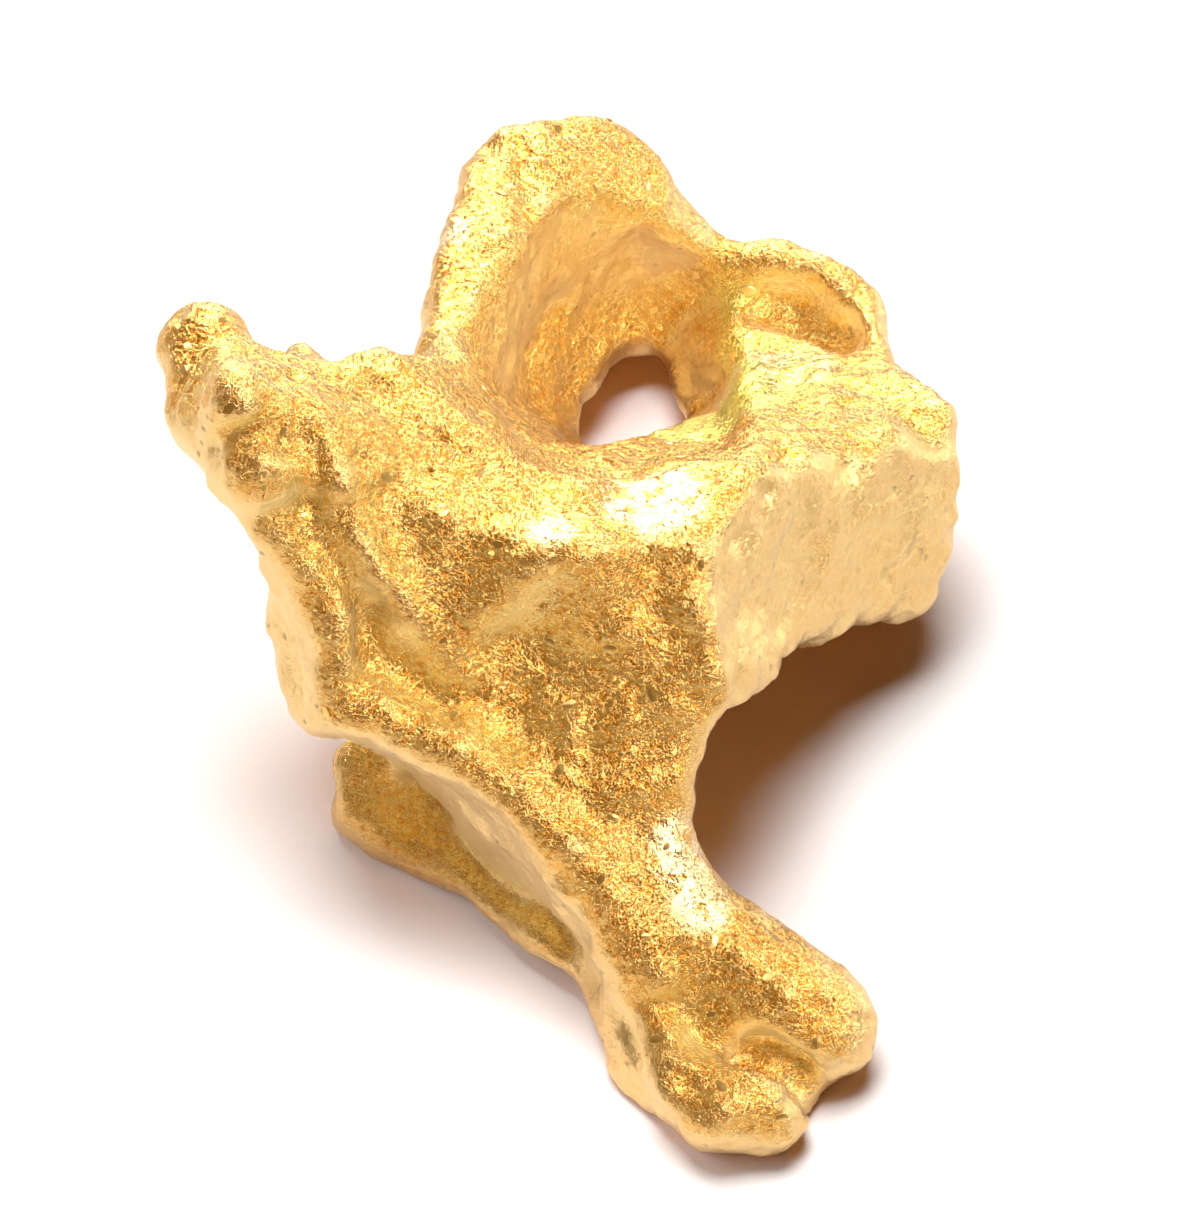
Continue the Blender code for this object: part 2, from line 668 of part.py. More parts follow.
def build():
    for obj in list(bpy.data.objects):
        bpy.data.objects.remove(obj)
    bm = shaped_skin()
    settle(bm)
    mesh = bpy.data.meshes.new("nugget")
    bm.to_mesh(mesh)
    bm.free()
    mesh = thinned(mesh)
    for vert in mesh.vertices:
        if vert.co.z < FLAT_TOLERANCE:
            vert.co.z = 0.0
        vert.co *= MM
    mesh.name = "nugget"
    mesh.shade_smooth()
    mesh.materials.append(gold())
    collection = bpy.data.collections.new("Gold nugget")
    bpy.context.scene.collection.children.link(collection)
    collection.objects.link(bpy.data.objects.new("nugget", mesh))


build()
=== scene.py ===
"""Gold nugget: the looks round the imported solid.

The skin is remade from the solid's own mesh with a fine, even net, given its lumps, grain
and pits by Geometry Nodes and strewn with crumbs of gold. Sizes and colours are in the
property groups and in the panel in the sidebar.
"""

import math

import bmesh
import bpy
import numpy as np
from bpy.props import (
    FloatProperty,
    FloatVectorProperty,
    IntProperty,
    PointerProperty,
)
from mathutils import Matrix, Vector


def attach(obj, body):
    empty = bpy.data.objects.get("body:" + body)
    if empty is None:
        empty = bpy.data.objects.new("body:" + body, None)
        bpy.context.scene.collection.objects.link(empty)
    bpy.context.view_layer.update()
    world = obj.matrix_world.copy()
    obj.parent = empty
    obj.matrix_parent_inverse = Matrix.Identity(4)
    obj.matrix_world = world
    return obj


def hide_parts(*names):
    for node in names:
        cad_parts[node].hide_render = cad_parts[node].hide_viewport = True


bl_info = {
    "name": "Gold nugget",
    "version": (1, 0, 0),
    "blender": (4, 5, 0),
    "location": "3D View > Sidebar > Gold nugget",
    "description": "Builds the skin, the crumbs and the stage of a natural gold nugget",
    "category": "Add Mesh",
}

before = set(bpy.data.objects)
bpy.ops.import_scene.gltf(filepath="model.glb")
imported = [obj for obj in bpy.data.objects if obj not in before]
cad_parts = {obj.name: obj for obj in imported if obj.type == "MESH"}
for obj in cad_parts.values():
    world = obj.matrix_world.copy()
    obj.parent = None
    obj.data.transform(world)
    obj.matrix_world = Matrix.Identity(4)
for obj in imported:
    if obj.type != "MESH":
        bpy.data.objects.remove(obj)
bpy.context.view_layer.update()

MM = 0.001
NODE = "nugget"
BODY = "root"
MERGE_DISTANCE = 1e-6

# Smoothing of the net: factor, and passes for the skin itself and for the softened skin
SOFTEN, FINE_PASSES, SOFT_PASSES = 0.5, 3, 26

# Ranges over which a mask rises from 0 to 1. Depths and heights against the softened skin
# are in millimetres, turns are one part of the normal, and places are in metres.
HOLLOW_DEPTH = (0.02, 0.22)
PROUD_HEIGHT, PROUD_RUB = (0.01, 0.09), 0.75
UNDER_TURN = (-0.45, 0.05)
BACK_TURN, BACK_LESS = (0.0, 0.5), 0.7
RIGHT_TURN, RIGHT_PLACE, RIGHT_RUB = (0.35, 0.7), (0.0015, 0.003), 0.75
LEFT_TURN, FRONT_TURN, LEFT_RUB = (0.45, 0.75), (0.1, 0.4), 0.85

# Patches burnished by wear and painted paler as highlights: centre and radius in millimetres
BURNISHED_HIGHLIGHTS = [
    ((1.6, -0.7, 7.6), 1.2),
    ((-0.2, -1.8, 8.2), 0.7),
    ((2.2, -5.9, 3.7), 0.9),
    ((2.5, -6.7, 3.3), 0.8),
    ((4.0, 5.3, 3.8), 1.4),
    ((-2.4, 6.4, 6.2), 0.8),
]
BURNISHED_CORE = 0.55

# The cup's inside, where the light bouncing in it is painted as a brighter yellow: its axis in
# millimetres, then how near, how turned and how high
CUP_AXIS = (2.5, 5.6)
CUP_REACH, CUP_FACING, CUP_HEIGHT = (0.0020, 0.0029), (-0.1, 0.4), (0.002, 0.003)

# Scales of the noises in the gold's colour, in cells per metre
PATCH_SCALE, RAGGED_SCALE = 900.0, 2400.0
SPECK_SCALE, SPECK_AREA_SCALE, SMEAR_SCALE = 3200.0, 1300.0, 2200.0
SPECK_SHAKE = 0.0001

# Metal left in the gold for rays that don't come from the camera
METAL_INSIDE = 0.45

# Crumbs: most points on a square metre, stretch along and across, tilt in radians, and
# the rubbed share above which none lie
CRUMB_DENSITY = 4.0e7
CRUMB_STRETCH = (1.3, 0.8)
CRUMB_TILT = 0.16
CRUMB_LIMIT = 0.35

# Lights: name, place, width and height in metres, the setting with the power, share of it.
# Lamps light the floor and aren't mirrored; boxes are only mirrored.
LAMPS = (
    ("floor light", (-0.02, 0.055, 0.28), 0.15, 0.15, "floor_power", 1.0),
    ("left fill", (-0.24, -0.04, 0.2), 0.25, 0.25, "fill_power", 1.0),
)
BOXES = (
    ("back light", (-0.015, 0.26, 0.145), 0.11, 0.09, "back_power", 1.0),
    ("top light", (0.02, 0.01, 0.30), 0.06, 0.06, "right_power", 0.3),
    ("right light", (0.19, -0.055, 0.22), 0.11, 0.09, "right_power", 1.0),
    ("low light", (0.25, 0.165, 0.02), 0.08, 0.08, "right_power", 0.4),
)

# The camera: what it looks at, how steeply, from how far, and the size of a pixel there
AIM = Vector((0.000646, -0.002412, 0.006452))
ELEVATION = math.radians(52.0)
DISTANCE = 0.150
PIXEL = 0.000018
PICTURE_HEIGHT = 1207
SENSOR = 36.0
CLIP_START = 0.01


def property_length(name, description, default, maximum=0.05):
    return FloatProperty(
        name=name,
        description=description,
        default=default,
        min=0.0,
        max=maximum,
        precision=6,
        unit="LENGTH",
        subtype="DISTANCE",
    )


def property_share(name, description, default):
    return FloatProperty(
        name=name, description=description, default=default, min=0.0, max=1.0, subtype="FACTOR"
    )


def property_colour(name, description, default):
    return FloatVectorProperty(
        name=name,
        description=description,
        default=default,
        size=3,
        min=0.0,
        max=1.0,
        subtype="COLOR",
    )


def property_power(name, description, default):
    return FloatProperty(name=name, description=description, default=default, min=0.0)


class NuggetSkinSettings(bpy.types.PropertyGroup):
    net: property_length("Net", "Size of the squares of the skin's net", 0.00012)
    lump_size: property_length("Lump size", "Width of the soft lumps", 0.0008)
    lump_height: property_length("Lump height", "Height of the soft lumps", 0.00015)
    grain_size: property_length("Grain size", "Width of the coarse grains", 0.00024)
    grain_height: property_length("Grain height", "Height of the coarse grains", 0.00012)
    pit_size: property_length("Pit size", "Spacing of the small pits", 0.0011)
    pit_depth: property_length("Pit depth", "Depth of the small pits", 0.0001)
    fine_grain: property_length("Fine grain", "Width of the finest grains", 0.000055)
    fine_relief: property_length("Fine relief", "Height of the finest grains", 0.00006)
    turn: property_share("Turn", "How far each of the finest grains is turned", 0.15)
    bright: property_colour("Bright gold", "Colour of rubbed and open gold", (1.0, 0.65, 0.215))
    # Deep gold: the gold's own deeper tone in random patches, and painted shade between the grains
    deep_tone_and_shade: property_colour("Deep gold", "Colour between the grains", (0.94, 0.42, 0.055))
    glow: property_colour("Glow", "Colour that the gold throws on the floor", (1.0, 0.42, 0.09))
    # Rubbed gold: worn walls painted paler, a painted sheen and painted highlights on top of the
    # wear
    rubbed: property_colour("Rubbed gold", "Colour of the rubbed walls", (1.0, 0.80, 0.46))
    # Painted light: the bright yellow of light bouncing inside the cup
    cup: property_colour("Cup", "Colour of the cup's inside", (1.0, 0.91, 0.25))
    inner: property_colour("Inner light", "Colour of gold mirrored in gold", (1.0, 1.0, 0.70))
    dirt: property_colour("Dirt", "Colour of specks of dirt", (0.16, 0.10, 0.03))
    polish: property_share("Rubbed roughness", "Roughness of the smooth walls", 0.32)
    matt: property_share("Grain roughness", "Roughness of the grainy faces", 0.18)
    gloss: property_share("Burnished roughness", "Roughness of the burnished patches", 0.14)


class NuggetCrumbSettings(bpy.types.PropertyGroup):
    spacing: property_length("Spacing", "Least distance between crumbs", 0.0011)
    smallest: property_length("Smallest", "Width of the smallest crumb", 0.0001)
    largest: property_length("Largest", "Width of the largest crumb", 0.00028)
    flatness: property_share("Flatness", "Height of a crumb as a share of its width", 0.15)
    seed: IntProperty(name="Seed", description="Order of the scatter", default=7, min=0)
    roughness: property_share("Roughness", "Roughness of the crumbs", 0.3)


class NuggetStageSettings(bpy.types.PropertyGroup):
    floor_size: property_length("Floor size", "Side of the floor", 1.2, 5.0)
    floor_colour: property_colour("Floor", "Colour of the floor", (0.86, 0.85, 0.84))
    floor_mirrored: property_colour(
        "Mirrored floor", "Colour of the floor as the gold mirrors it", (0.68, 0.65, 0.62)
    )
    front: property_colour("Room", "Light of the room in front of the stage", (0.17, 0.12, 0.06))
    back: property_colour("Backdrop", "Light of the backdrop behind the stage", (0.30, 0.25, 0.18))
    room_strength: property_power("Room strength", "Strength of room and backdrop", 2.0)
    floor_power: property_power("Floor light", "Power of the light on the floor", 2.15)
    back_power: property_power("Back light", "Power of the box behind", 1.4)
    right_power: property_power("Right light", "Power of the box on the right", 0.8)
    fill_power: property_power("Left fill", "Power of the fill on the floor", 0.9)
    exposure: FloatProperty(
        name="Exposure", description="Brightness of the picture, in stops", default=-0.8
    )


# Tools for node trees


def link(tree, source, target):
    tree.links.new(source, target)


def add_node(tree, kind, **values):
    node = tree.nodes.new(kind)
    for name, value in values.items():
        setattr(node, name, value)
    return node


def feed(tree, socket, value):
    """Links value to the socket if it is an output, and otherwise sets it."""
    if isinstance(value, bpy.types.NodeSocket):
        link(tree, value, socket)
    else:
        socket.default_value = value


def maths(tree, operation, first, second=None, clamp=False):
    """A Math node fed by sockets or plain numbers; returns its output socket."""
    node = add_node(tree, "ShaderNodeMath", operation=operation, use_clamp=clamp)
    feed(tree, node.inputs[0], first)
    if second is not None:
        feed(tree, node.inputs[1], second)
    return node.outputs[0]


def ramp(tree, value, low, high, to_low=0.0, to_high=1.0):
    """Maps value from low..high to to_low..to_high with soft ends."""
    node = add_node(tree, "ShaderNodeMapRange", interpolation_type="SMOOTHSTEP")
    link(tree, value, node.inputs["Value"])
    for name, number in (
        ("From Min", low),
        ("From Max", high),
        ("To Min", to_low),
        ("To Max", to_high),
    ):
        node.inputs[name].default_value = number
    return node.outputs["Result"]


def mix_colour(tree, share, first, second):
    node = add_node(tree, "ShaderNodeMix", data_type="RGBA")
    feed(tree, node.inputs[0], share)
    for socket, value in ((node.inputs[6], first), (node.inputs[7], second)):
        plain = not isinstance(value, bpy.types.NodeSocket)
        feed(tree, socket, (*value, 1.0) if plain else value)
    return node.outputs[2]


def noise(tree, where, scale, detail=2.0, roughness=0.5, distortion=0.0):
    node = add_node(tree, "ShaderNodeTexNoise")
    link(tree, where, node.inputs["Vector"])
    feed(tree, node.inputs["Scale"], scale)
    node.inputs["Detail"].default_value = detail
    node.inputs["Roughness"].default_value = roughness
    node.inputs["Distortion"].default_value = distortion
    return node.outputs["Fac"]


def cells(tree, where, scale):
    """A Voronoi node; its Distance and Color are read from the node returned."""
    node = add_node(tree, "ShaderNodeTexVoronoi")
    link(tree, where, node.inputs["Vector"])
    feed(tree, node.inputs["Scale"], scale)
    return node


def new_group(name, kind, inputs, outputs):
    """An empty node group with named sockets: (name, socket type, default)."""
    tree = bpy.data.node_groups.new(name, kind)
    for title, socket_type, default in inputs:
        socket = tree.interface.new_socket(name=title, in_out="INPUT", socket_type=socket_type)
        if default is not None:
            socket.default_value = default
    for title, socket_type in outputs:
        tree.interface.new_socket(name=title, in_out="OUTPUT", socket_type=socket_type)
    return tree, add_node(tree, "NodeGroupInput"), add_node(tree, "NodeGroupOutput")


def plain_mesh(obj, name):
    """The evaluated object as a plain mesh, with the modifiers left behind."""
    graph = bpy.context.evaluated_depsgraph_get()
    graph.update()
    mesh = bpy.data.meshes.new_from_object(obj.evaluated_get(graph))
    mesh.name = name
    return mesh


def set_inputs(modifier, values):
    """Sets a Geometry Nodes modifier's inputs by the sockets' identifiers."""
    names = {
        item.name: item.identifier
        for item in modifier.node_group.interface.items_tree
        if item.item_type == "SOCKET" and item.in_out == "INPUT"
    }
    for name, value in values.items():
        modifier[names[name]] = value


def linked_object(name, mesh):
    obj = bpy.data.objects.new(name, mesh)
    bpy.context.scene.collection.objects.link(obj)
    return obj


# Shader groups and materials


def scaled(tree, vector, factor):
    node = add_node(tree, "ShaderNodeVectorMath", operation="SCALE")
    link(tree, vector, node.inputs[0])
    feed(tree, node.inputs["Scale"], factor)
    return node.outputs[0]


def vector_sum(tree, first, second):
    node = add_node(tree, "ShaderNodeVectorMath", operation="ADD")
    feed(tree, node.inputs[0], first)
    feed(tree, node.inputs[1], second)
    return node.outputs[0]


def random_tilt(tree, colour, strength):
    """A vector from -strength to strength each way, from a cell's random colour."""
    return scaled(tree, vector_sum(tree, colour, (-0.5, -0.5, -0.5)), 2.0 * strength)


def shaken(tree, where, size):
    """Positions shaken a little, so that cells get ragged edges."""
    node = add_node(tree, "ShaderNodeTexNoise")
    link(tree, where, node.inputs["Vector"])
    fineness = maths(tree, "DIVIDE", 1.6, size)
    link(tree, fineness, node.inputs["Scale"])
    node.inputs["Detail"].default_value = 1.0
    offset = vector_sum(tree, node.outputs["Color"], (-0.5, -0.5, -0.5))
    return vector_sum(tree, where, scaled(tree, offset, maths(tree, "MULTIPLY", size, 1.3)))


def fine_grain_group():
    """Facets of the finest grains: packed cells, each turned its own way, and larger chips."""
    tree, inside, outside = new_group(
        "Fine grain",
        "ShaderNodeTree",
        [
            ("Vector", "NodeSocketVector", None),
            ("Grain Size", "NodeSocketFloat", 0.00009),
            ("Turn", "NodeSocketFloat", 0.3),
            ("Rubbed", "NodeSocketFloat", 0.0),
        ],
        [
            ("Height", "NodeSocketFloat"),
            ("Gap", "NodeSocketFloat"),
            ("Normal", "NodeSocketVector"),
        ],
    )
    size = inside.outputs["Grain Size"]
    rubbed = inside.outputs["Rubbed"]
    where = shaken(tree, inside.outputs["Vector"], size)
    scale = maths(tree, "DIVIDE", 1.0, size)
    small, broad, chips = (
        cells(tree, where, maths(tree, "MULTIPLY", scale, share)) for share in (1.0, 0.38, 0.3)
    )
    lot = add_node(tree, "ShaderNodeSeparateColor")
    link(tree, chips.outputs["Color"], lot.inputs[0])
    chosen = ramp(tree, lot.outputs[0], 0.80, 0.82)
    near = ramp(tree, chips.outputs["Distance"], 0.30, 0.42, 1.0, 0.0)
    chip = maths(tree, "MULTIPLY", chosen, near)
    turns = vector_sum(
        tree,
        random_tilt(tree, small.outputs["Color"], 1.0),
        random_tilt(tree, broad.outputs["Color"], 0.8),
    )
    mixed = add_node(tree, "ShaderNodeMix", data_type="VECTOR")
    link(tree, chip, mixed.inputs[0])
    link(tree, turns, mixed.inputs[4])
    link(tree, random_tilt(tree, chips.outputs["Color"], 1.9), mixed.inputs[5])
    keep = maths(tree, "SUBTRACT", 1.0, maths(tree, "MULTIPLY", rubbed, 0.45))
    amount = maths(tree, "MULTIPLY", keep, inside.outputs["Turn"])
    geometry = add_node(tree, "ShaderNodeNewGeometry")
    normal = vector_sum(
        tree, geometry.outputs["Normal"], scaled(tree, mixed.outputs[1], amount)
    )
    unit = add_node(tree, "ShaderNodeVectorMath", operation="NORMALIZE")
    link(tree, normal, unit.inputs[0])
    link(tree, unit.outputs[0], outside.inputs["Normal"])
    relief = noise(tree, where, maths(tree, "MULTIPLY", scale, 0.42), detail=3.0, roughness=0.62)
    height = maths(
        tree, "SUBTRACT", relief, maths(tree, "MULTIPLY", small.outputs["Distance"], 0.12)
    )
    link(tree, maths(tree, "MULTIPLY", height, keep), outside.inputs["Height"])
    # The gap mask is painted shade: deeper, darker gold between the grains and in their low spots
    low = ramp(tree, relief, 0.36, 0.56, 1.0, 0.0)
    edge = ramp(tree, small.outputs["Distance"], 0.35, 0.8)
    painted_grain_shade = maths(tree, "ADD", maths(tree, "MULTIPLY", low, 0.75), maths(tree, "MULTIPLY", edge, 0.5))
    painted_grain_shade = maths(tree, "MULTIPLY", painted_grain_shade, maths(tree, "SUBTRACT", 1.0, chip), clamp=True)
    link(tree, painted_grain_shade, outside.inputs["Gap"])
    return tree


def gold_colour_group():
    """Colour of natural gold: deeper in random patches, with painted shade between the grains that
    is weaker in the big hollows, and specks of dirt.
    """
    tree, inside, outside = new_group(
        "Natural gold",
        "ShaderNodeTree",
        [
            ("Vector", "NodeSocketVector", None),
            ("Bright", "NodeSocketColor", (1.0, 0.72, 0.29, 1.0)),
            ("Deep", "NodeSocketColor", (0.95, 0.52, 0.09, 1.0)),
            ("Dirt", "NodeSocketColor", (0.16, 0.10, 0.03, 1.0)),
            ("Gap", "NodeSocketFloat", 0.0),
            ("Hollow", "NodeSocketFloat", 0.0),
            ("Rubbed", "NodeSocketFloat", 0.0),
        ],
        [("Colour", "NodeSocketColor"), ("Dirt Mask", "NodeSocketFloat")],
    )
    where = inside.outputs["Vector"]
    patches = noise(tree, where, PATCH_SCALE, detail=3.0, roughness=0.6)
    depth = maths(tree, "MULTIPLY", ramp(tree, patches, 0.35, 0.65), 0.15)
    grainy = maths(tree, "SUBTRACT", 1.0, maths(tree, "MULTIPLY", inside.outputs["Rubbed"], 0.65))
    # Painted shade between the grains, less of it where the gold is rubbed and in the big hollows
    painted_grain_shade = maths(tree, "MULTIPLY", maths(tree, "MULTIPLY", inside.outputs["Gap"], grainy), 0.85)
    depth = maths(tree, "ADD", maths(tree, "MULTIPLY", depth, grainy), painted_grain_shade)
    open_gold = maths(tree, "SUBTRACT", 1.0, maths(tree, "MULTIPLY", inside.outputs["Hollow"], 0.8))
    depth = maths(tree, "MULTIPLY", depth, open_gold, clamp=True)
    colour = mix_colour(tree, depth, inside.outputs["Bright"], inside.outputs["Deep"])
    specks = cells(tree, shaken(tree, where, SPECK_SHAKE), SPECK_SCALE)
    small = ramp(tree, specks.outputs["Distance"], 0.12, 0.26, 1.0, 0.0)
    some = ramp(tree, noise(tree, where, SPECK_AREA_SCALE, detail=1.0), 0.54, 0.62)
    worn = maths(tree, "MULTIPLY", inside.outputs["Rubbed"], 0.9)
    speck = maths(tree, "MULTIPLY", maths(tree, "MULTIPLY", small, some), worn)
    smear = noise(tree, where, SMEAR_SCALE, detail=6.0, roughness=0.75)
    smear = ramp(tree, smear, 0.62, 0.74)
    smear = maths(tree, "MULTIPLY", smear, maths(tree, "MULTIPLY", inside.outputs["Rubbed"], 0.6))
    mask = maths(tree, "MAXIMUM", speck, smear)
    colour = mix_colour(tree, mask, colour, inside.outputs["Dirt"])
    link(tree, colour, outside.inputs["Colour"])
    link(tree, mask, outside.inputs["Dirt Mask"])
    return tree


def place_group(tree, group, **values):
    node = add_node(tree, "ShaderNodeGroup", node_tree=group)
    for name, value in values.items():
        feed(tree, node.inputs[name.replace("_", " ")], value)
    return node


def attribute(tree, name):
    node = add_node(tree, "ShaderNodeAttribute", attribute_name=name)
    return node.outputs["Fac"]


def glow_for_others(tree, shader, settings):
    """Softens the metal for rays that come off other surfaces, so that gold lights its
    own hollows and throws its warm colour on the floor."""
    rays = add_node(tree, "ShaderNodeLightPath")
    metal = ramp(tree, rays.outputs["Is Camera Ray"], 0.0, 1.0, METAL_INSIDE, 1.0)
    link(tree, metal, shader.inputs["Metallic"])
    own = shader.inputs["Base Color"].links[0].from_socket
    inner = mix_colour(tree, rays.outputs["Is Glossy Ray"], own, settings.inner[:])
    outer = mix_colour(tree, rays.outputs["Is Diffuse Ray"], inner, settings.glow[:])
    link(tree, outer, shader.inputs["Base Color"])


def skin_material(settings, grain_group, colour_group):
    material = bpy.data.materials.new("grainy gold")
    material.use_nodes = True
    tree = material.node_tree
    shader = tree.nodes["Principled BSDF"]
    shader.inputs["Metallic"].default_value = 1.0
    where = add_node(tree, "ShaderNodeTexCoord").outputs["Object"]
    rubbed = attribute(tree, "rubbed")
    hollow = attribute(tree, "hollow")
    ragged = noise(tree, where, RAGGED_SCALE, detail=3.0, roughness=0.6)
    ragged = ramp(tree, ragged, 0.36, 0.5)
    burnished = maths(tree, "MULTIPLY", attribute(tree, "burnished"), ragged)
    smooth = maths(tree, "MAXIMUM", rubbed, maths(tree, "MULTIPLY", burnished, 0.8))
    # The rubbed walls and burnished patches are painted paler: painted sheen and painted highlights
    # on top of the wear
    rubbed_wear_and_sheen = maths(tree, "MULTIPLY", rubbed, 0.5)
    wear_and_painted_sheen = maths(tree, "MAXIMUM", rubbed_wear_and_sheen, maths(tree, "MULTIPLY", burnished, 0.8))
    grain = place_group(
        tree,
        grain_group,
        Vector=where,
        Grain_Size=settings.fine_grain,
        Turn=settings.turn,
        Rubbed=smooth,
    )
    colour = place_group(
        tree,
        colour_group,
        Vector=where,
        Bright=(*settings.bright, 1.0),
        Deep=(*settings.deep_tone_and_shade, 1.0),
        Dirt=(*settings.dirt, 1.0),
        Gap=grain.outputs["Gap"],
        Hollow=hollow,
        Rubbed=rubbed,
    )
    worn = mix_colour(tree, wear_and_painted_sheen, colour.outputs["Colour"], settings.rubbed[:])
    # Painted light: the cup's inside is painted a brighter yellow for the light bouncing in it
    cup_painted_light = mix_colour(tree, attribute(tree, "cup"), worn, settings.cup[:])
    link(tree, cup_painted_light, shader.inputs["Base Color"])
    roughness = add_node(tree, "ShaderNodeMix", data_type="FLOAT")
    link(tree, rubbed, roughness.inputs[0])
    roughness.inputs[2].default_value = settings.matt
    roughness.inputs[3].default_value = settings.polish
    glossy = add_node(tree, "ShaderNodeMix", data_type="FLOAT")
    link(tree, burnished, glossy.inputs[0])
    link(tree, roughness.outputs[0], glossy.inputs[2])
    glossy.inputs[3].default_value = settings.gloss
    dirty = maths(tree, "MULTIPLY", colour.outputs["Dirt Mask"], 0.35)
    link(
        tree,
        maths(tree, "ADD", glossy.outputs[0], dirty, clamp=True),
        shader.inputs["Roughness"],
    )
    bump = add_node(tree, "ShaderNodeBump")
    bump.inputs["Strength"].default_value = 1.0
    bump.inputs["Distance"].default_value = settings.fine_relief
    link(tree, grain.outputs["Height"], bump.inputs["Height"])
    link(tree, grain.outputs["Normal"], bump.inputs["Normal"])
    link(tree, bump.outputs["Normal"], shader.inputs["Normal"])
    glow_for_others(tree, shader, settings)
    return material


def crumb_material(settings, skin, colour_group):
    material = bpy.data.materials.new("bright gold")
    material.use_nodes = True
    tree = material.node_tree
    shader = tree.nodes["Principled BSDF"]
    shader.inputs["Metallic"].default_value = 1.0
    shader.inputs["Roughness"].default_value = settings.roughness
    where = add_node(tree, "ShaderNodeTexCoord").outputs["Object"]
    colour = place_group(
        tree,
        colour_group,
        Vector=where,
        Bright=(*skin.bright, 1.0),
        Deep=(*skin.deep_tone_and_shade, 1.0),
        Dirt=(*skin.dirt, 1.0),
    )
    link(tree, colour.outputs["Colour"], shader.inputs["Base Color"])
    return material


# The skin


def net_from_solid(settings):
    """A fine even net over the solid, softened so that its flat facets are gone."""
    bm = bmesh.new()
    bm.from_mesh(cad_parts[NODE].data)
    bmesh.ops.remove_doubles(bm, verts=bm.verts, dist=MERGE_DISTANCE)
    mesh = bpy.data.meshes.new("net")
    bm.to_mesh(mesh)
    bm.free()
    mesh.materials.clear()
    net = linked_object("net", mesh)
    remesh = net.modifiers.new("even net", "REMESH")
    remesh.mode = "VOXEL"
    remesh.voxel_size = settings.net
    soften = net.modifiers.new("soften", "SMOOTH")
    soften.factor = SOFTEN
    soften.iterations = FINE_PASSES
    fine = plain_mesh(net, "fine net")
    soften.iterations = SOFT_PASSES
    soft = plain_mesh(net, "soft net")
    bpy.data.objects.remove(net)
    return fine, soft


def vectors(items, attribute_name, count):
    values = np.empty(count * 3, dtype=np.float32)
    items.foreach_get(attribute_name, values)
    return values.reshape(-1, 3).astype(float)


def vertex_normals(mesh):
    return vectors(mesh.vertex_normals, "vector", len(mesh.vertices))


def soft_step(values, stretch):
    """Rises softly from 0 to 1 as the values cross the stretch (low, high)."""
    low, high = stretch
    share = np.clip((values - low) / (high - low), 0.0, 1.0)
    return share * share * (3.0 - 2.0 * share)


def rubbed_walls(points, normals):
    """How smooth the gold is rubbed: the undersides, the overhang and the right wall, which are
    also painted paler as a painted sheen.
    """
    under = soft_step(-normals[:, 2], UNDER_TURN)
    under *= 1.0 - BACK_LESS * soft_step(normals[:, 1], BACK_TURN)
    right = soft_step(normals[:, 0], RIGHT_TURN) * soft_step(points[:, 0], RIGHT_PLACE)
    left = soft_step(-normals[:, 0], LEFT_TURN) * soft_step(-normals[:, 1], FRONT_TURN)
    return np.maximum(under, np.maximum(right * RIGHT_RUB, left * LEFT_RUB))


def burnished_patches(points):
    share = np.zeros(len(points))
    for centre, radius in BURNISHED_HIGHLIGHTS:
        distance = np.linalg.norm(points / MM - np.array(centre), axis=1)
        edge = (BURNISHED_CORE * radius, radius)
        share = np.maximum(share, 1.0 - soft_step(distance, edge))
    return share


def cup_walls(points, normals):
    """The cup's inside: skin near its axis that faces the axis, where the light bouncing in the cup
    is painted.
    """
    out = points[:, :2] - np.array(CUP_AXIS) * MM
    reach = np.maximum(np.linalg.norm(out, axis=1), MERGE_DISTANCE)
    facing = -(out * normals[:, :2]).sum(axis=1) / reach
    near = 1.0 - soft_step(reach, CUP_REACH)
    return soft_step(facing, CUP_FACING) * near * soft_step(points[:, 2], CUP_HEIGHT)


def store(mesh, name, values):
    layer = mesh.attributes.new(name, "FLOAT", "POINT")
    layer.data.foreach_set("value", values.astype(np.float32))


